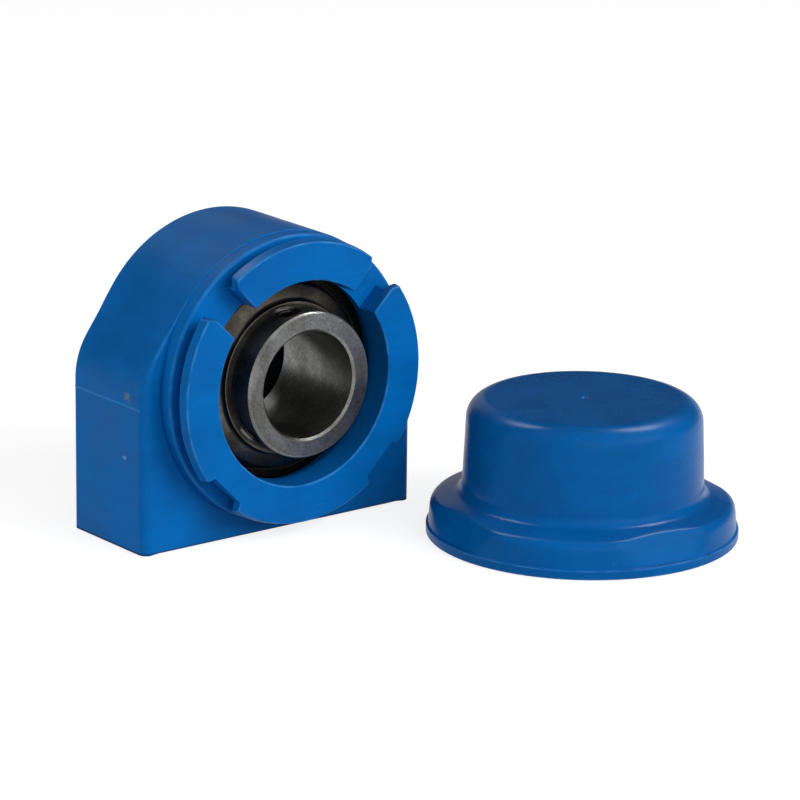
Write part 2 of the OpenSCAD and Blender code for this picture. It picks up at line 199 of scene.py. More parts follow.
def block_outline(samples=4000):
    """Outline of the block round the shaft, as its angles and its rows.

    A row is x, z, the inward direction and the radius of the front edge. Base, side wall, shoulder arc,
    flank and arch follow each other tangentially, and the left half mirrors the right.
    """
    lean = math.atan2(SHOULDER_H - SHAFT_H, SIDE_X)
    flank = lean + math.acos(ARCH_R / math.hypot(SIDE_X, SHOULDER_H - SHAFT_H))
    run = SHOULDER_R * math.tan(flank / 2)
    wall_top = SHOULDER_H - run
    share = np.linspace(0, 1, samples)
    none, one = 0 * share, 0 * share + 1
    base = np.stack([share * (SIDE_X - 1e-4), none, none, one, SOLE_R * one], 1)
    side = np.stack([SIDE_X * one, share * wall_top, -one, none, CORNER_R * one], 1)
    turn = share * flank
    shoulder = np.stack([SIDE_X - SHOULDER_R + SHOULDER_R * np.cos(turn),
                         wall_top + SHOULDER_R * np.sin(turn), -np.cos(turn), -np.sin(turn),
                         CORNER_R + (RIM_R - CORNER_R) * share], 1)
    turn = flank + share * (math.pi / 2 - flank)
    arch = np.stack([ARCH_R * np.cos(turn), SHAFT_H + ARCH_R * np.sin(turn), -np.cos(turn), -np.sin(turn),
                     ARCH_EDGE_R * one], 1)
    foot, top = shoulder[-1, :2], arch[0, :2]
    slope = foot + (top - foot) * share[:, None]
    room = np.hypot(slope[:, 0], slope[:, 1] - SHAFT_H) - BOSS_R
    edge_r = np.clip(0.6 * room - ARCH_EDGE_R, ARCH_EDGE_R, RIM_R)
    slope = np.concatenate([slope, arch[:1, 2:4] * one[:, None], edge_r[:, None]], 1)
    right = np.concatenate([base, side, shoulder, slope, arch])
    left = right[::-1] * np.array([-1, 1, -1, 1, 1])
    whole = np.concatenate([right, left])
    angle = np.unwrap(np.arctan2(whole[:, 1] - SHAFT_H, whole[:, 0]))
    return angle, whole


def mouth_half(r, half, flare):
    """Half width of a slot or notch at a radius.

    It is parallel up to the notch's floor and then flares to the lip's rim: with s from 0 to 1 between the
    two, the point (floor + s deep, half + s flare) lies at the radius.
    """
    deep = LIP_R - NOTCH_FLOOR
    a = deep ** 2 + flare ** 2
    b = 2 * (NOTCH_FLOOR * deep + half * flare)
    c = NOTCH_FLOOR ** 2 + half ** 2 - r ** 2
    s = np.maximum((-b + np.sqrt(np.maximum(b * b - 4 * a * c, 0))) / (2 * a), 0)
    return half + flare * s


def wall_angle(centre, side, r, off=0.0, flared=False):
    """Angle at radius r of a slot's or notch's wall, shifted sideways by off into the ring."""
    half, flare = (SLOT_HALF, SLOT_FLARE) if centre % 360 in SLOTS else (NOTCH_HALF, NOTCH_FLARE)
    width = mouth_half(r, half, flare) if flared else half
    return math.radians(centre) + side * np.arcsin((width + off) / r)


def housing_shell():
    """Housing as one surface, made of columns round the shaft.

    In each column a closed section runs from the ring's mouth over its front, lip, groove and boss to the
    block's outline, along the depth, over the back and through the seat.
    """
    shell = Shell()
    notch_r = math.hypot(NOTCH_FLOOR, NOTCH_HALF)
    ring = rounded([(MOUTH_R, BOSS_Y), (MOUTH_R, RING_Y), (notch_r, RING_Y), (LIP_R - LIP_LEAD, RING_Y),
                    (LIP_R, LIP_BACK_Y), (notch_r, LIP_BACK_Y), (NECK_R, LIP_BACK_Y), (NECK_R, BOSS_Y)],
                   [0, 0.5, 0, 0.5, 0.3, 0, 0.1, 0])
    at = np.flatnonzero(np.isclose(ring[:, 0], notch_r))
    front_at, back_at = at[0], at[-1]
    step = np.diff(ring, axis=0)
    normal = np.stack([step[:, 1], -step[:, 0]], 1) / np.hypot(step[:, 0], step[:, 1])[:, None]
    normal = np.concatenate([normal[:1], (normal[1:] + normal[:-1]) / 2, normal[-1:]])
    boss = rounded([(NECK_R, BOSS_Y), (BOSS_R - BOSS_DRAFT, BOSS_Y), (BOSS_R, FACE_Y)],
                   [0, BOSS_ROUND, 0])[1:]
    bowl = arc((0, 0), SEAT_R, math.degrees(math.asin(math.sqrt(SEAT_R ** 2 - REAR_R ** 2) / SEAT_R)),
               -math.degrees(math.asin(math.sqrt(SEAT_R ** 2 - MOUTH_R ** 2) / SEAT_R)), 16)
    back = np.concatenate([rounded([(SEAL_SEAT_R + 2, BACK_Y), (SEAL_SEAT_R, BACK_Y), (SEAL_SEAT_R, SEAL_Y),
                                    (REAR_R, SEAL_Y)], [0, 0.4, 0, 0])[1:], bowl])
    floor = np.stack([np.linspace(MOUTH_R, NECK_R, 7), np.full(7, BOSS_Y)], 1)
    out_angle, outline = block_outline()
    corner = math.degrees(math.atan2(-SHAFT_H, SIDE_X))
    hole_x = BOLT_X + np.linspace(-POCKET_EDGE, POCKET_EDGE, 13)
    base_x = np.concatenate([hole_x, np.linspace(0, BOLT_X - POCKET_EDGE, 9)[:-1]])
    parting = PARTING_Z - SHAFT_H + np.linspace(-0.45, 0.45, 7)
    special = np.concatenate([np.degrees(np.arctan2(-SHAFT_H, base_x)), [corner + 3e-4]])
    special = np.concatenate([special, -180 - special]) % 360
    ticks = np.degrees(np.arctan2(parting, SIDE_X))
    ticks = np.concatenate([ticks, 180 - ticks]) % 360
    regular = np.arange(0, 360, 1.5)
    taken = np.concatenate([special, ticks])
    on_base = (regular > special.min() - 1) & (regular < special.max() + 1)
    apart = np.abs((regular[:, None] - ticks[None] + 180) % 360 - 180).min(1) > 0.5
    targets = np.concatenate([taken, regular[~on_base & apart]])
    depth_y = np.concatenate([np.linspace(-POCKET_EDGE, POCKET_EDGE, 13), [9.5, 12, 14.5, 17]])

    def outside(ref):
        """Front face, edge, depth, back edge and back face of the block for columns at these angles."""
        wrapped = (ref - out_angle[0]) % (2 * math.pi) + out_angle[0]
        x, z, nx, nz, front_r = (np.interp(wrapped, out_angle, outline[:, k]) for k in range(5))
        x = x + np.sign(x) * (np.abs(nx) > 0.999) * PARTING_T * np.exp(-((z - PARTING_Z) / PARTING_W) ** 2)
        back_r = np.minimum(front_r, BACK_R)
        foot = on_shaft(BOSS_R, ref, FACE_Y)
        rows = []
        inner = np.stack([x + nx * front_r, np.full_like(x, FACE_Y), z + nz * front_r], -1)
        rows += [foot + (inner - foot) * t for t in FACE_ROWS]
        for phi in np.radians(np.linspace(0, 90, 7)):
            k = front_r * (1 - math.sin(phi))
            rows.append(np.stack([x + nx * k, FACE_Y + front_r * (1 - math.cos(phi)), z + nz * k], -1))
        rows += [np.stack([x, np.full_like(x, y), z], -1) for y in depth_y]
        for phi in np.radians(np.linspace(90, 0, 7)):
            k = back_r * (1 - math.sin(phi))
            rows.append(np.stack([x + nx * k, BACK_Y - back_r * (1 - math.cos(phi)), z + nz * k], -1))
        hub = on_shaft(SEAL_SEAT_R + 0.6, ref, BACK_Y)
        edge = rows[-1]
        rows += [edge + (hub - edge) * t for t in (0.02, 0.35, 0.7)]
        return np.stack(rows, 1), x, z

    def common(angle_at):
        """Rows that all columns share, from the boss to the seat."""
        ref = angle_at(np.array([BOSS_R]))[:, 0]
        face, x, z = outside(ref)
        near = on_shaft(boss[None, :, 0], angle_at(boss[:, 0]), boss[None, :, 1])
        far = on_shaft(back[None, :, 0], angle_at(back[:, 0]), back[None, :, 1])
        return np.concatenate([near, face, far], 1), x, z

    def keep_off_holes(x, z, first, rows):
        """False for the quads of the sole that the pockets of the threaded inserts replace."""
        cols = len(x)
        depth = first + len(boss) + len(FACE_ROWS) + 7
        keep = np.ones((cols - 1, rows), bool)
        low, high = BOLT_X - POCKET_EDGE - 1e-3, BOLT_X + POCKET_EDGE + 1e-3
        inside = (np.abs(x) > low) & (np.abs(x) < high) & (z < 1e-3)
        pair = inside[:-1] & inside[1:] & (x[:-1] * x[1:] > 0)
        keep[:, depth:depth + 12] = ~pair[:, None]
        return keep, x[inside]

    sole_x = []
    ends = list(SLOTS) + list(NOTCHES) + [SLOTS[0] + 360]
    for left, right in zip(ends[:-1], ends[1:]):
        rounds = np.radians(np.linspace(0, 90, 5))
        off, inset = WALL_ROUND * (1 - np.sin(rounds)), WALL_ROUND * (1 - np.cos(rounds))
        ref_r = np.array([BOSS_R])
        ref_a = math.degrees(wall_angle(left, 1, ref_r, WALL_ROUND)[0])
        ref_b = math.degrees(wall_angle(right, -1, ref_r, WALL_ROUND)[0])
        inside = np.concatenate([targets, targets + 360])
        inside = np.sort(inside[(inside > ref_a + 0.15) & (inside < ref_b - 0.15)])
        share = (inside - ref_a) / (ref_b - ref_a)

        def angle_at(r, flared=False, left=left, right=right, share=share, off=off):
            a = [wall_angle(left, 1, r, o, flared) for o in off[::-1]]
            b = [wall_angle(right, -1, r, o, flared) for o in off]
            mid = a[-1] + (b[0] - a[-1]) * share[:, None]
            return np.concatenate([np.stack(a), mid, np.stack(b)])

        pull = np.concatenate([inset[::-1], 0 * share, inset])[:, None, None]
        section = np.repeat(ring[None], len(pull), 0)
        rows_in = np.zeros((len(pull), len(ring), 1))
        rows_in[:, 1:-1] = pull
        left_notch, right_notch = left % 360 in NOTCHES, right % 360 in NOTCHES
        lip_only = np.zeros((1, len(ring), 1))
        lip_only[:, front_at + 1:back_at] = 1
        if left_notch:
            rows_in[:5] *= lip_only
        if right_notch:
            rows_in[-5:] *= lip_only
        section = section - rows_in * normal[None]
        angles = angle_at(ring[:, 0], True)
        rest, x, z = common(angle_at)
        near = on_shaft(section[..., 0], angles, section[..., 1])
        points = np.concatenate([near, rest], 1)
        keep, used = keep_off_holes(x, z, len(ring), points.shape[1])
        sole_x.append(used)
        shell.grid(points, wrap_rows=True, keep=keep)
        for column, centre, side in ((0, left, 1), (-1, right, -1)):
            wall = near[column]
            if centre % 360 in SLOTS:
                edge = on_shaft(floor[:, 0], wall_angle(centre, side, floor[:, 0]), floor[:, 1])
                shell.cap(np.concatenate([wall[:front_at + 1], wall[back_at:], edge[::-1][1:-1]]))
            shell.cap(wall[front_at:back_at + 1])
    for centre in SLOTS:
        cross = np.linspace(-SLOT_HALF, SLOT_HALF, 13)

        def angle_at(r, centre=centre, cross=cross):
            return math.radians(centre) + np.arcsin(cross[:, None] / r[None])

        rest = common(angle_at)[0]
        near = on_shaft(floor[None, :, 0], angle_at(floor[:, 0]), floor[None, :, 1])
        shell.grid(np.concatenate([near, rest], 1), wrap_rows=True)
    for centre in NOTCHES:
        inside = np.radians(targets - centre)
        cross = BOSS_R * np.sin(inside[np.abs(inside) < 0.2])
        cross = np.sort(cross[np.abs(cross) < NOTCH_HALF - 0.05])
        cross = np.concatenate([[-NOTCH_HALF], cross, [NOTCH_HALF]])

        def angle_at(r, centre=centre, cross=cross):
            return math.radians(centre) + np.arcsin(cross[:, None] / r)

        rest, x, z = common(angle_at)
        flat_r = np.hypot(NOTCH_FLOOR, cross)[:, None]
        lead = np.repeat(ring[None, :front_at, 0], len(cross), 0)
        tail = np.repeat(ring[None, back_at + 1:, 0], len(cross), 0)
        radius = np.concatenate([lead, flat_r, flat_r, tail], 1)
        along = np.concatenate([ring[:front_at + 1, 1], ring[back_at:, 1]])
        near = on_shaft(radius, angle_at(radius), along[None])
        points = np.concatenate([near, rest], 1)
        keep, used = keep_off_holes(x, z, near.shape[1], points.shape[1])
        sole_x.append(used)
        shell.grid(points, wrap_rows=True, keep=keep)
    sole_x = np.unique(np.round(np.concatenate(sole_x), 5))
    edge_y = depth_y[:13]
    for side in (-1, 1):
        across = sole_x[sole_x * side > 0]
        loop = box_loop(across, edge_y)
        middle = np.array([side * BOLT_X, 0])
        way = loop - middle
        unit = way / np.hypot(way[:, 0], way[:, 1])[:, None]
        rim = middle + unit * (POCKET_R + 0.2)
        flat = [loop + (rim - loop) * t for t in (0, 0.5, 1)]
        rows = [np.stack([p[:, 0], p[:, 1], 0 * p[:, 0]], 1) for p in flat]
        for r, z in ((POCKET_R, 0.2), (POCKET_R, POCKET_H), (4.75, POCKET_H), (4.75, POCKET_H + 3)):
            ring_xy = middle + unit * r
            rows.append(np.stack([ring_xy[:, 0], ring_xy[:, 1], 0 * ring_xy[:, 0] + z], 1))
        shell.grid(np.stack(rows, 1), wrap_cols=True)
        shell.cap(rows[-1])
    return shell


def cover_shell(cols=288):
    """End cover turned round its own axis, with four lugs inside the skirt.

    On the skirt's shoulder a soft minimum holds r down to four leaning flats f: with the blend k it is
    -log(exp(-k r) + exp(-k f)) / k.
    """
    shell = Shell()
    outside = rounded([(0, 31.7), (0.45, 31.7), (0.95, 32.0), (26.9, 32.0), (27.7, 12.8), (27.75, 10.05),
                       (34.9, 8.0), (35.4, 2.3), (35.62, 2.3), (35.9, 2.05), (35.9, 0.0), (33.6, 0.0)],
                      [0, 0, 0.2, 5.0, 0, 2.6, 2.4, 0.1, 0.1, 0.25, 0.35, 0.2], steps=14)
    inside = rounded([(33.4, 0.1), (32.6, 0.8), (32.6, 1.4), (33.4, 2.2), (33.4, 2.9), (32.9, 5.5),
                      (25.3, 5.5), (24.5, 29.6), (0, 29.6)], [0, 0.2, 0.2, 0.2, 0, 0.3, 0.6, 2.6, 0])
    lengths = np.hypot(*np.diff(outside, axis=0).T)
    place = np.concatenate([[0], np.cumsum(lengths)])
    dense = np.unique(np.concatenate([place, np.arange(0, place[-1], 0.6)]))
    outside = np.stack([np.interp(dense, place, outside[:, k]) for k in (0, 1)], 1)
    section = np.concatenate([outside, inside])
    angle = np.linspace(0, 2 * math.pi, cols, endpoint=False)[:, None]
    r, z = np.broadcast_arrays(section[None, :, 0], section[None, :, 1])
    r = np.repeat(r, cols, 0)
    offset = (angle + math.pi / 4) % (math.pi / 2) - math.pi / 4
    limit = (FLAT_R - (z - FLAT_Z) * math.tan(FLAT_LEAN)) / np.cos(offset)
    soft = -np.logaddexp(-FLAT_BLEND * r, -FLAT_BLEND * limit) / FLAT_BLEND
    skirt = (section[:, 0] > 28) & (section[:, 1] > 2.299) & (np.arange(len(section)) < len(outside))
    share = np.clip((35.62 - section[:, 0]) / 0.2, 0, 1) * skirt
    r = r + (soft - r) * share[None]
    turn = angle + math.radians(COVER_TURN)
    points = np.stack([COVER_X + r * np.cos(turn), COVER_Y + r * np.sin(turn),
                       np.broadcast_to(z, r.shape)], -1)
    shell.grid(points, wrap_cols=True)
    for k in range(4):
        a = math.radians(COVER_TURN + 90 * k)
        rows = []
        for height, reach in ((0.6, 33.5), (2.9, 33.5), (5.6, 33.0)):
            wide = LUG_HALF + LUG_FLARE * (reach - LUG_R) / LUG_RUN
            plan = np.array([(LUG_R, -LUG_HALF), (reach, -wide), (reach, wide), (LUG_R, LUG_HALF)])
            x = COVER_X + plan[:, 0] * math.cos(a) - plan[:, 1] * math.sin(a)
            y = COVER_Y + plan[:, 0] * math.sin(a) + plan[:, 1] * math.cos(a)
            rows.append(np.stack([x, y, 0 * x + height], 1))
        shell.grid(np.stack(rows, 1), wrap_cols=True)
        shell.cap(rows[0])
        shell.cap(rows[-1])
    return shell


def collar_shell():
    """Inner ring turned round the shaft, with two radial holes.

    Round each hole the columns run parallel to the hole's axis, and a patch leads from their square to the
    hole's circle on the outside and in the bore.
    """
    shell = Shell()
    half, parts = 3.9, 12
    lines = SCREW_Y + np.linspace(-half, half, parts + 1)
    track_mid = PITCH_R - BALL_R - 0.04 + TRACK_R
    reach = math.degrees(math.asin(math.sqrt(TRACK_R ** 2 - (track_mid - COLLAR_R) ** 2) / TRACK_R))
    front = rounded([(BORE_R, COLLAR_Y + BORE_CHAMFER), (BORE_R + BORE_CHAMFER, COLLAR_Y),
                     (COLLAR_R - EDGE_CHAMFER, COLLAR_Y), (COLLAR_R, COLLAR_Y + EDGE_CHAMFER),
                     (COLLAR_R, -18.7)], [0.2, 0.12, 0.12, 0.12, 0], steps=3)
    track = arc((track_mid, 0), TRACK_R, 180 + reach, 180 - reach, 16)
    tail = rounded([(COLLAR_R, 5), (COLLAR_R, TAIL_Y - EDGE_CHAMFER), (COLLAR_R - EDGE_CHAMFER, TAIL_Y),
                    (BORE_R + TAIL_CHAMFER, TAIL_Y), (BORE_R, TAIL_Y - TAIL_CHAMFER)],
                   [0, 0.12, 0.12, 0.12, 0], steps=3)
    out_line = np.stack([np.full(parts + 1, COLLAR_R), lines], 1)
    mids = np.array([(COLLAR_R, -8.5), (COLLAR_R, -6), (COLLAR_R, -4)])
    in_mids = np.array([(BORE_R, y) for y in (4, 1, -2, -5, -8)])
    in_line = np.stack([np.full(parts + 1, BORE_R), lines[::-1]], 1)
    section = np.concatenate([front, out_line, mids, track, tail, in_mids, in_line])
    first_out = len(front)
    first_in = len(section) - parts - 1
    cross = np.linspace(-half, half, parts + 1)
    places = [math.radians(c) for c in SCREW_CLOCK]
    for k, here in enumerate(places):
        after = places[(k + 1) % 2] + (2 * math.pi if k == 1 else 0)
        r = section[:, 0]
        angle = here + np.arcsin(cross[:, None] / r[None])
        keep = np.ones((parts, len(section)), bool)
        keep[:, first_out:first_out + parts] = False
        keep[:, first_in:first_in + parts] = False
        shell.grid(on_shaft(r[None], angle, section[None, :, 1]), wrap_rows=True, keep=keep)
        start, stop = here + np.arcsin(half / r), after - np.arcsin(half / r)
        share = np.linspace(0, 1, int((after - here) / math.radians(1.6)))[:, None]
        shell.grid(on_shaft(r[None], start + (stop - start) * share, section[None, :, 1]), wrap_rows=True)
        loop = box_loop(cross, cross)
        unit = loop / np.hypot(loop[:, 0], loop[:, 1])[:, None]

        def lay(plan, radius):
            """Puts points of the hole's plan on a cylinder round the shaft."""
            return on_shaft(radius, here + np.arcsin(plan[:, 0] / radius), SCREW_Y + plan[:, 1])

        rows = [lay(loop + (unit * 3.25 - loop) * t, COLLAR_R) for t in (0, 0.4, 0.75, 1)]
        psi = np.arctan2(unit[:, 1], unit[:, 0])
        for depth in np.linspace(0.25, COLLAR_R - BORE_R - 0.02, 36):
            thread = 0.1 * np.cos(2 * math.pi * depth - psi)
            plan = unit * (SCREW_HOLE_R + 0.1 + thread)[:, None]
            lateral = np.arcsin(plan[:, 0] / (COLLAR_R - depth))
            rows.append(on_shaft(COLLAR_R - depth, here + lateral, SCREW_Y + plan[:, 1]))
        mouth = unit * SCREW_HOLE_R * 1.02
        rows += [lay(mouth + (loop - mouth) * t, BORE_R) for t in (0, 0.5, 1)]
        shell.grid(np.stack(rows, 1), wrap_cols=True)
    return shell


def screw_shell(clock):
    """Set screw along its own axis: r follows a shallow thread outside and a hexagon in the socket."""
    shell = Shell()
    tip, top = SCREW_TIP, SCREW_TOP
    psi = np.linspace(0, 2 * math.pi, 72, endpoint=False)[:, None]
    along = np.linspace(tip + 0.9, top - 0.3, 28)[None]
    thread = 2.85 + 0.1 * np.cos(2 * math.pi * along - psi)
    hexagon = 1.5 / np.cos((psi + math.pi / 6) % (math.pi / 3) - math.pi / 6)
    one = np.ones_like(psi)
    cup_r = [0.01 * one, 0.8 * one, 2.05 * one]
    cup_h = [tip + 0.5, tip, tip]
    socket_r = [2.6 * one, hexagon + 0.2, hexagon, hexagon, 0.01 * one]
    socket_h = [top, top, top - 0.2, top - 1.8, top - 2.1]
    radius = np.concatenate(cup_r + [thread] + socket_r, 1)
    height = np.concatenate([cup_h, along[0], socket_h])[None]
    a = math.radians(clock)
    side = radius * np.cos(psi)
    along_y = SCREW_Y + radius * np.sin(psi)
    out = np.broadcast_to(height, radius.shape)
    points = np.stack([out * math.cos(a) - side * math.sin(a), along_y,
                       SHAFT_H + out * math.sin(a) + side * math.cos(a)], -1)
    shell.grid(points, wrap_cols=True)
    shell.cap(points[:, 0])
    shell.cap(points[:, -1])
    return shell


def insert_shell(side):
    """Threaded insert turned round its upright axis, with a helical thread in its bore."""
    shell = Shell()
    psi = np.linspace(0, 2 * math.pi, 72, endpoint=False)[:, None]
    outer = np.array([(5.05, 0.0), (6.1, 0.0), (6.2, 0.1), (6.2, 5.25), (5.5, 6.0), (5.5, 9.0), (6.2, 9.75),
                      (6.2, 14.9), (6.1, 15.0), (4.25, 15.0)])
    depth = np.linspace(14.9, 0.8, 60)
    thread = 4.4 + 0.15 * np.cos(2 * math.pi * depth[None] / 1.5 - psi)
    one = np.ones_like(psi)
    radius = np.concatenate([outer[None, :, 0] * one, thread], 1)
    height = np.concatenate([outer[:, 1], depth])
    points = np.stack([side * BOLT_X + radius * np.cos(psi), radius * np.sin(psi),
                       np.broadcast_to(height[None], radius.shape)], -1)
    shell.grid(points, wrap_cols=True, wrap_rows=True)
    return shell


def outer_ring_section():
    """Half section of the sphered outer ring with its ball track and seal grooves."""
    lean = math.degrees(math.asin((RING_HALF - 0.3) / RING_R))
    sphere = arc((0, 0), RING_R, -lean, lean, 24)
    track_mid = PITCH_R + BALL_R + 0.04 - TRACK_R
    reach = math.degrees(math.asin(math.sqrt(TRACK_R ** 2 - (LAND_R - track_mid) ** 2) / TRACK_R))
    track = arc((track_mid, 0), TRACK_R, reach, -reach, 14)
    gate, rim = LAND_R + 0.5, LAND_R + 1.1
    side = np.array([(24.6, 7.5), (gate + 0.2, 7.5), (gate, 7.3), (gate, 6.9), (rim, 6.9), (rim, 5.7),
                     (LAND_R, 5.7)])
    return np.concatenate([sphere, side, track, side[::-1] * (1, -1)])


# Closed sections of the flinger and the seals, as radius and place along the shaft
FLINGER = rounded([(16.92, -11.65), (17.72, -11.65), (17.72, -10.5), (21.24, -9.1), (22.04, -8.3),
                   (21.24, -8.3), (17.72, -9.7), (16.92, -9.7)],
                  [0.1, 0.15, 1.2, 0.8, 0.1, 0.5, 0.6, 0.1], closed=True)
FRONT_SEAL = rounded([(23.32, -5.72), (23.32, -6.88), (22.44, -6.88), (21.84, -7.18), (18.4, -7.18),
                      (17.1, -6.48), (17.1, -5.92), (18.1, -5.72)],
                     [0.2, 0.2, 0.2, 0.3, 0.5, 0.1, 0.1, 0.4], steps=4, closed=True)
BACK_SEAL = rounded([(26.98, SEAL_Y + 0.02), (26.98, BACK_Y - 0.8), (26.48, BACK_Y - 0.3),
                     (23.8, BACK_Y - 0.3), (23.0, BACK_Y - 1.44), (15.7, BACK_Y - 1.44),
                     (13.5, BACK_Y - 0.3), (12.7, BACK_Y - 0.3), (12.7, BACK_Y - 0.9),
                     (14.7, BACK_Y - 2.84), (23.0, BACK_Y - 2.84), (23.8, SEAL_Y + 0.02)],
                    [0.2, 0.4, 0.3, 0.6, 0.6, 0.8, 0.3, 0.15, 0.15, 0.6, 0.6, 0.3], steps=5, closed=True)


class Graph:
    """Short way to add nodes to a tree and to link them."""

    def __init__(self, tree):
        self.tree = tree

    def add(self, kind, inputs=None, **settings):
        """New node; an input takes a number, a colour or another node's output."""
        node = self.tree.nodes.new(kind)
        for key, value in settings.items():
            setattr(node, key, value)
        for key, value in (inputs or {}).items():
            if isinstance(value, bpy.types.NodeSocket):
                self.tree.links.new(value, node.inputs[key])
            else:
                node.inputs[key].default_value = value
        return node

    def math(self, operation, *values):
        """One step of arithmetic."""
        return self.add("ShaderNodeMath", dict(enumerate(values)), operation=operation).outputs[0]

    def noise(self, vector, scale, detail=3.0, roughness=0.5):
        """Cloudy pattern from 0 to 1; the scale counts features in a metre."""
        node = self.add("ShaderNodeTexNoise", {"Vector": vector, "Scale": scale, "Detail": detail,
                                               "Roughness": roughness})
        return node.outputs["Fac"]

    def step(self, value, low, high, to_low=0.0, to_high=1.0):
        """Soft step from one value to another."""
        node = self.add("ShaderNodeMapRange", {"Value": value, "From Min": low, "From Max": high,
                                               "To Min": to_low, "To Max": to_high},
                        interpolation_type="SMOOTHSTEP")
        return node.outputs["Result"]

    def stretch(self, vector, scale, turn=(0.0, 0.0, 0.0)):
        """Coordinates turned and stretched."""
        return self.add("ShaderNodeMapping", {"Vector": vector, "Scale": scale, "Rotation": turn}).outputs[0]

    def mix(self, share, one, other, blend="MIX"):
        """Mix of two colours."""
        node = self.add("ShaderNodeMix", data_type="RGBA", blend_type=blend)
        for socket, value in ((node.inputs[0], share), (node.inputs[6], one), (node.inputs[7], other)):
            if isinstance(value, bpy.types.NodeSocket):
                self.tree.links.new(value, socket)
            else:
                socket.default_value = value
        return node.outputs[2]


def rgb(red, green, blue):
    """Linear colour with full alpha."""
    return (red, green, blue, 1.0)


def effect(name, inputs):
    """New node group with these inputs, which gives a colour, a roughness and a height."""
    tree = bpy.data.node_groups.new(name, "ShaderNodeTree")
    for label, kind in inputs.items():
        tree.interface.new_socket(label, in_out="INPUT", socket_type=kind)
    results = {"Color": "NodeSocketColor", "Roughness": "NodeSocketFloat", "Height": "NodeSocketFloat"}
    for label, kind in results.items():
        tree.interface.new_socket(label, in_out="OUTPUT", socket_type=kind)
    graph = Graph(tree)
    return graph, graph.add("NodeGroupInput").outputs, graph.add("NodeGroupOutput").inputs


def plastic_skin():
    """Moulded plastic: clouds, fine grain, flow streaks, pale worn edges, dust and a few thin scuffs."""
    g, given, out = effect("plastic_skin", {"Color": "NodeSocketColor", "Worn": "NodeSocketColor",
                                            "Shine": "NodeSocketFloat"})
    place = g.add("ShaderNodeTexCoord").outputs["Object"]
    cloud = g.noise(place, 70, 4)
    flow = g.noise(g.stretch(place, (60, 60, 420), (0.5, 0.1, 0)), 1, 3)
    grain = g.noise(place, 3200, 2)
    tone = g.math("ADD", g.step(cloud, 0.3, 0.7, 0.9, 1.07), g.step(flow, 0.3, 0.7, -0.04, 0.04))
    tint = g.add("ShaderNodeCombineColor", {"Red": tone, "Green": tone, "Blue": tone}).outputs[0]
    colour = g.mix(1.0, given["Color"], tint, "MULTIPLY")
    edge = g.add("ShaderNodeAttribute", attribute_name="edge").outputs["Fac"]
    rub = g.math("MULTIPLY", g.step(edge, 0.5, 1.0), g.step(g.noise(place, 260, 3), 0.35, 0.65, 0.1, 0.7))
    colour = g.mix(rub, colour, given["Worn"])
    scratch = g.step(g.noise(g.stretch(place, (90, 2600, 2600), (0.4, 0.9, 0.5)), 1, 1), 0.72, 0.76)
    scratch = g.math("MULTIPLY", scratch, g.step(g.noise(place, 45, 2), 0.52, 0.68))
    dust = g.step(g.noise(place, 1500, 0), 0.83, 0.88, 0, 0.3)
    marks = g.math("MAXIMUM", g.math("MULTIPLY", scratch, 0.45), dust)
    colour = g.mix(marks, colour, given["Worn"])
    g.tree.links.new(colour, out["Color"])
    rough = g.math("ADD", given["Shine"], g.step(cloud, 0.3, 0.7, -0.05, 0.08))
    g.tree.links.new(g.math("ADD", rough, g.math("MULTIPLY", marks, 0.1)), out["Roughness"])
    height = g.math("ADD", g.math("MULTIPLY", grain, 0.5), g.math("MULTIPLY", flow, 0.6))
    g.tree.links.new(g.math("SUBTRACT", height, g.math("MULTIPLY", scratch, 0.5)), out["Height"])
    return g.tree


def turned_steel():
    """Turned or ground steel: fine rings round the shaft, grit, mottled stains, specks and bright edges."""
    g, given, out = effect("turned_steel", {"Color": "NodeSocketColor", "Stain": "NodeSocketColor",
                                            "Stained": "NodeSocketFloat", "Shine": "NodeSocketFloat"})
    place = g.add("ShaderNodeTexCoord").outputs["Object"]
    axis = g.add("ShaderNodeSeparateXYZ", {0: place}).outputs
    rise = g.math("SUBTRACT", axis["Z"], SHAFT_H * MM)
    squares = g.math("ADD", g.math("MULTIPLY", axis["X"], axis["X"]), g.math("MULTIPLY", rise, rise))
    radius = g.math("SQRT", squares)
    along = g.math("MULTIPLY", g.math("ADD", radius, axis["Y"]), 9000)
    rings = g.add("ShaderNodeTexNoise", {"W": along, "Scale": 1.0, "Detail": 2.0}, noise_dimensions="1D")
    rings = rings.outputs["Fac"]
    cloud = g.noise(place, 260, 5, 0.6)
    speck = g.step(g.noise(place, 2600, 2), 0.62, 0.72)
    grit = g.noise(place, 1500, 3, 0.7)
    tone = g.math("ADD", g.step(rings, 0.25, 0.75, 0.88, 1.06), g.step(cloud, 0.3, 0.7, -0.16, 0.14))
    tone = g.math("ADD", tone, g.step(grit, 0.35, 0.65, -0.2, 0.2))
    tint = g.add("ShaderNodeCombineColor", {"Red": tone, "Green": tone, "Blue": tone}).outputs[0]
    colour = g.mix(1.0, given["Color"], tint, "MULTIPLY")
    stain = g.math("MULTIPLY", g.step(g.noise(place, 110, 4), 0.42, 0.68), given["Stained"])
    colour = g.mix(g.math("MAXIMUM", stain, g.math("MULTIPLY", speck, 0.3)), colour, given["Stain"])
    edge = g.add("ShaderNodeAttribute", attribute_name="edge").outputs["Fac"]
    colour = g.mix(g.step(edge, 0.5, 1.0, 0, 0.35), colour, rgb(0.4, 0.37, 0.31))
    g.tree.links.new(colour, out["Color"])
    rough = g.math("ADD", given["Shine"], g.step(rings, 0.3, 0.7, -0.05, 0.07))
    g.tree.links.new(g.math("ADD", rough, g.math("MULTIPLY", stain, 0.25)), out["Roughness"])
    g.tree.links.new(g.math("ADD", rings, g.math("MULTIPLY", cloud, 0.5)), out["Height"])
    return g.tree


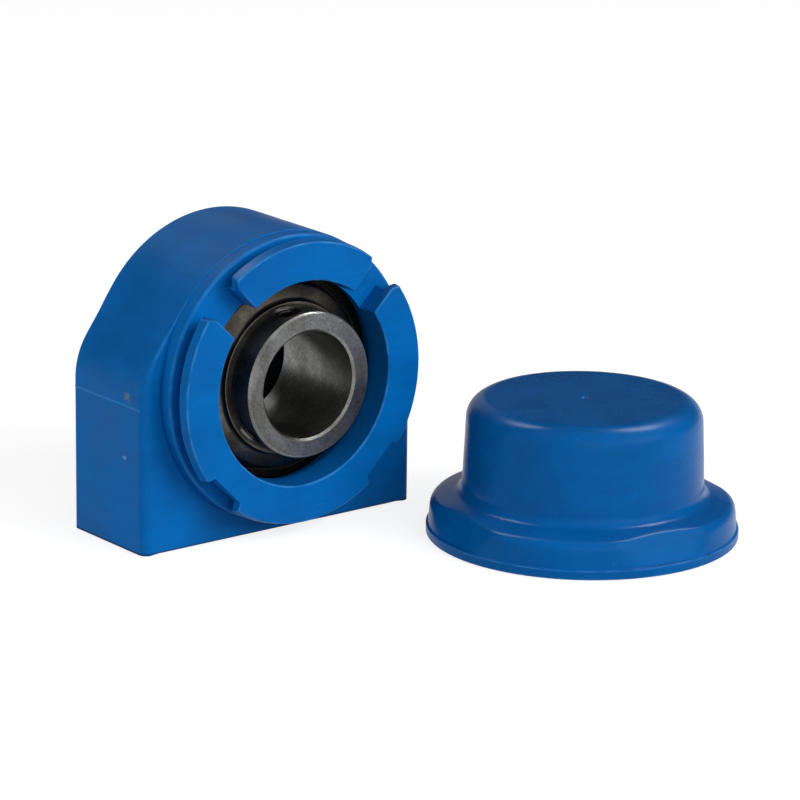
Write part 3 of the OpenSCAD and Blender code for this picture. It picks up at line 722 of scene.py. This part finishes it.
def finish(name, group, values, metallic, specular, bump):
    """Material with colour, roughness and bump from a group, and the plain values set on the shader."""
    material = bpy.data.materials.new(name)
    material.use_nodes = True
    g = Graph(material.node_tree)
    shader = g.tree.nodes["Principled BSDF"]
    shader.inputs["Metallic"].default_value = metallic
    shader.inputs["Specular IOR Level"].default_value = specular
    skin = g.add("ShaderNodeGroup", node_tree=group)
    for key, value in values.items():
        skin.inputs[key].default_value = value
    g.tree.links.new(skin.outputs["Color"], shader.inputs["Base Color"])
    g.tree.links.new(skin.outputs["Roughness"], shader.inputs["Roughness"])
    relief = g.add("ShaderNodeBump", {"Height": skin.outputs["Height"], "Strength": 0.5, "Distance": bump})
    g.tree.links.new(relief.outputs[0], shader.inputs["Normal"])
    return material


SKIN, STEEL = plastic_skin(), turned_steel()


def plastic(name, colour, worn, shine, specular=0.3):
    """Moulded plastic or rubber."""
    return finish(name, SKIN, {"Color": colour, "Worn": worn, "Shine": shine}, 0.0, specular, 3e-5)


def metal(name, colour, stain, stained, shine, bump=4e-6):
    """Turned, ground or blackened steel."""
    values = {"Color": colour, "Stain": stain, "Stained": stained, "Shine": shine}
    return finish(name, STEEL, values, 1.0, 0.5, bump)


def stains_and_painted_light(material, spots):
    """Lays painted shade along the foot of the walls, a painted highlight just above the parting line and
    dried spots over a colour.
    """
    g = Graph(material.node_tree)
    shader = g.tree.nodes["Principled BSDF"]
    colour = shader.inputs["Base Color"].links[0].from_socket
    place = g.add("ShaderNodeTexCoord").outputs["Object"]
    axis = g.add("ShaderNodeSeparateXYZ", {0: place}).outputs
    height = axis["Z"]
    # Painted shade: the lowest 0.7 mm of the walls is darkened, most just above the floor, standing in for
    # the contact shadow; the sole is left clean.
    low = g.math("MULTIPLY", g.step(height, 3e-5, 1.2e-4), g.step(height, 2.5e-4, 7e-4, 0.85, 0.0))
    colour = g.mix(low, colour, rgb(0.001, 0.02, 0.06))
    # Painted highlight: a pale line just above the parting line on the side walls.
    off_seam = g.math("ABSOLUTE", g.math("SUBTRACT", height, (PARTING_Z + 0.1) * MM))
    on_wall = g.step(g.math("ABSOLUTE", axis["X"]), (SIDE_X - 0.1) * MM, (SIDE_X - 0.02) * MM)
    seam_highlight = g.math("MULTIPLY", on_wall, g.step(off_seam, 1e-4, 3.5e-4, 0.6, 0.0))
    colour = g.mix(seam_highlight, colour, WEAR_AND_HIGHLIGHT_BLUE)
    for spot, size, share, tint in spots:
        away = g.add("ShaderNodeVectorMath", {0: place, 1: spot}, operation="DISTANCE").outputs["Value"]
        ragged = g.math("ADD", away, g.step(g.noise(place, 1600, 3), 0.3, 0.7, -0.5 * size, 0.5 * size))
        colour = g.mix(g.step(ragged, 0.4 * size, size, share, 0.0), colour, tint)
    g.tree.links.new(colour, shader.inputs["Base Color"])


# Pale blue for worn edges, scratches and dust, and for the painted highlight at the parting line
WEAR_AND_HIGHLIGHT_BLUE = rgb(0.04, 0.24, 0.62)
BLUE = plastic("moulded_blue", rgb(0.001, 0.125, 0.42), WEAR_AND_HIGHLIGHT_BLUE, 0.42, 0.08)
# Dried spots on the left wall: place and reach in metres, share and colour
SIDE_SPOTS = (((-0.038, -0.0022, 0.036), 0.0013, 0.6, rgb(0.16, 0.2, 0.14)),
              ((-0.038, -0.0013, 0.0216), 0.0008, 0.6, rgb(0.2, 0.36, 0.62)))
stains_and_painted_light(BLUE, SIDE_SPOTS)
COVER_BLUE = plastic("cover_blue", rgb(0.001, 0.1, 0.34), rgb(0.04, 0.22, 0.56), 0.26, 0.07)
COLLAR = metal("ground_steel", rgb(0.22, 0.222, 0.215), rgb(0.09, 0.078, 0.06), 0.5, 0.32)
RING_STEEL = metal("ring_steel", rgb(0.038, 0.033, 0.019), rgb(0.018, 0.014, 0.008), 0.7, 0.34)
SHEET = metal("sheet_steel", rgb(0.12, 0.11, 0.09), rgb(0.05, 0.04, 0.026), 0.6, 0.36)
SCREW = metal("black_screw", rgb(0.02, 0.02, 0.02), rgb(0.05, 0.04, 0.03), 0.4, 0.42)
INSERT = metal("insert_steel", rgb(0.45, 0.44, 0.42), rgb(0.2, 0.17, 0.12), 0.4, 0.35)
RUBBER = plastic("seal_rubber", rgb(0.012, 0.012, 0.012), rgb(0.06, 0.058, 0.055), 0.6)
CAGE = plastic("cage_polymer", rgb(0.03, 0.028, 0.024), rgb(0.09, 0.085, 0.075), 0.5)
BALL = metal("ball_steel", rgb(0.7, 0.7, 0.7), rgb(0.35, 0.32, 0.28), 0.2, 0.12, 5e-7)

housing_shell().piece("housing_body", "block", "blue_plastic", BLUE, ["housing"])
cover_shell().piece("end_cover_body", "block", "cover_plastic", COVER_BLUE, ["end_cover"])
collar_shell().piece("collar", "inner_race", "collar_steel", COLLAR, ["inner_ring"])
turned(FLINGER).piece("flinger_disc", "inner_race", "sheet_steel", SHEET, ["flinger"])
turned(FRONT_SEAL).piece("front_seal_lip", "outer_race", "rubber", RUBBER, ["front_seal"])
turned(FRONT_SEAL * (1, -1)).piece("rear_seal_lip", "outer_race", "rubber", RUBBER, ["rear_seal"])
turned(BACK_SEAL).piece("back_seal_ring", "block", "rubber", RUBBER, ["back_seal"])
turned(outer_ring_section()).piece("outer_race_ring", "outer_race", "ring_steel", RING_STEEL, ["outer_ring"])
for k, clock in enumerate(SCREW_CLOCK):
    body = f"set_screw_{k + 1}"
    screw_shell(clock).piece(f"grub_screw_{k + 1}", body, "screw_steel", SCREW, [body])
for word, side in (("left", -1), ("right", 1)):
    replaced = f"threaded_insert_{word}"
    insert_shell(side).piece(f"tapped_insert_{word}", "block", "insert_steel", INSERT, [replaced])
for name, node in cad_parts.items():
    look = BALL if name.startswith("ball") else CAGE if name == "cage" else None
    if look:
        node.data.materials.clear()
        node.data.materials.append(look)


def aim(place, target, roll=0.0):
    """Matrix of a camera or lamp at a place that looks at a target."""
    way = (Vector(target) - Vector(place)).normalized()
    turn = way.to_track_quat("-Z", "Y").to_matrix().to_4x4()
    return Matrix.Translation(Vector(place)) @ turn @ Matrix.Rotation(roll, 4, "Z")


# Camera: the photograph's view from the front left
AZIMUTH, ELEVATION, ROLL = math.radians(-38.17), math.radians(16.005), math.radians(0.743)
LOOK_AT = Vector((42.828, 1.860, 20.920)) * MM
DISTANCE = 1042.49 * MM
forward = Vector((-math.sin(AZIMUTH) * math.cos(ELEVATION), math.cos(AZIMUTH) * math.cos(ELEVATION),
                  -math.sin(ELEVATION)))
lens = bpy.data.cameras.new("camera")
lens.sensor_width = 36
lens.lens = 4416.36 / 800 * 36
lens.clip_start = 0.01
camera = bpy.data.objects.new("camera", lens)
bpy.context.scene.collection.objects.link(camera)
camera.matrix_world = aim(LOOK_AT - forward * DISTANCE, LOOK_AT, ROLL)
bpy.context.scene.camera = camera


def lamp(name, place, target, size, watts):
    """Soft square lamp."""
    light = bpy.data.lights.new(name, "AREA")
    light.shape = "RECTANGLE"
    light.size = size
    light.size_y = size
    light.energy = watts
    made = bpy.data.objects.new(name, light)
    bpy.context.scene.collection.objects.link(made)
    made.matrix_world = aim(place, target)
    return made


# Softboxes for the block's front and left side, and three boxes that only show as highlights
lamp("front_softbox", (0.45, -1.1, 0.66), (0.02, 0, 0.03), 0.8, 13).visible_glossy = False
lamp("front_fill", (-0.5, -1.2, 0.5), (0.02, 0, 0.03), 0.9, 6).visible_glossy = False
lamp("left_softbox", (-1.12, 0.48, 0.1), (0.0, 0, 0.04), 0.6, 8.5).visible_glossy = False
lamp("right_highlight", (0.6, -0.08, 0.95), (0.03, -0.02, 0.03), 0.35, 9).visible_diffuse = False
lamp("back_highlight", (-0.08, 0.52, 0.95), (0.03, -0.02, 0.03), 0.3, 5).visible_diffuse = False
lamp("rear_highlight", (0.5, 1.15, 0.4), (0.0, 0, 0.03), 0.5, 0.6).visible_diffuse = False


def seen_rays(g):
    """One for rays that show the surroundings: to the camera, mirrored or through something clear."""
    rays = g.add("ShaderNodeLightPath").outputs
    mirrored = g.math("MAXIMUM", rays["Is Glossy Ray"], rays["Is Transmission Ray"])
    return g.math("MAXIMUM", rays["Is Camera Ray"], mirrored)


def white_world():
    """White surroundings for what the camera and reflections see, and softer fill light for the rest."""
    world = bpy.data.worlds.new("studio")
    bpy.context.scene.world = world
    world.use_nodes = True
    world.node_tree.nodes.clear()
    g = Graph(world.node_tree)
    fill = g.add("ShaderNodeBackground", {"Color": rgb(1, 1, 1), "Strength": 0.15})
    seen = g.add("ShaderNodeBackground", {"Color": rgb(1, 1, 1), "Strength": 1.0})
    pick = g.add("ShaderNodeMixShader", {0: seen_rays(g), 1: fill.outputs[0], 2: seen.outputs[0]})
    g.add("ShaderNodeOutputWorld", {"Surface": pick.outputs[0]})


def stage_sheet(name, points, faces):
    """Part of the studio that isn't part of the object."""
    mesh = bpy.data.meshes.new(name)
    mesh.from_pydata(points, [], faces)
    made = bpy.data.objects.new(name, mesh)
    bpy.context.scene.collection.objects.link(made)
    material = bpy.data.materials.new(name)
    material.use_nodes = True
    mesh.materials.append(material)
    return made, Graph(material.node_tree), material.node_tree.nodes["Principled BSDF"]


def floor():
    """White floor that glows to the camera and keeps the object's shadow, a little below the sole."""
    low, half = -2e-4, 6
    corners = [(-half, -half, low), (half, -half, low), (half, half, low), (-half, half, low)]
    _, g, shader = stage_sheet("floor", corners, [(0, 1, 2, 3)])
    shader.inputs["Base Color"].default_value = rgb(0.4, 0.4, 0.4)
    shader.inputs["Roughness"].default_value = 0.9
    shader.inputs["Emission Color"].default_value = rgb(1, 1, 1)
    g.tree.links.new(g.math("MULTIPLY", seen_rays(g), 0.8), shader.inputs["Emission Strength"])


def dark_flag():
    """Dark studio flag behind and above the object, part of a sphere, that only reflections show."""
    turn = np.radians(np.linspace(-35, 150, 24))[:, None]
    rise = np.radians(np.linspace(4, 88, 12))[None]
    points = 2.6 * np.stack([np.cos(rise) * np.cos(turn), np.cos(rise) * np.sin(turn),
                             np.sin(rise) + 0 * turn], -1).reshape(-1, 3)
    made, _, shader = stage_sheet("dark_flag", points.tolist(), grid_quads(24, 12).tolist())
    shader.inputs["Base Color"].default_value = rgb(0.02, 0.02, 0.02)
    shader.inputs["Roughness"].default_value = 1.0
    shader.inputs["Emission Color"].default_value = rgb(1, 1, 1)
    # Its faint glow is a painted reflection: it lifts what metal and plastic mirror of the flag above black.
    shader.inputs["Emission Strength"].default_value = 0.04
    made.visible_camera = made.visible_diffuse = made.visible_shadow = made.visible_transmission = False


white_world()
floor()
dark_flag()
bpy.context.scene.view_settings.view_transform = "Standard"
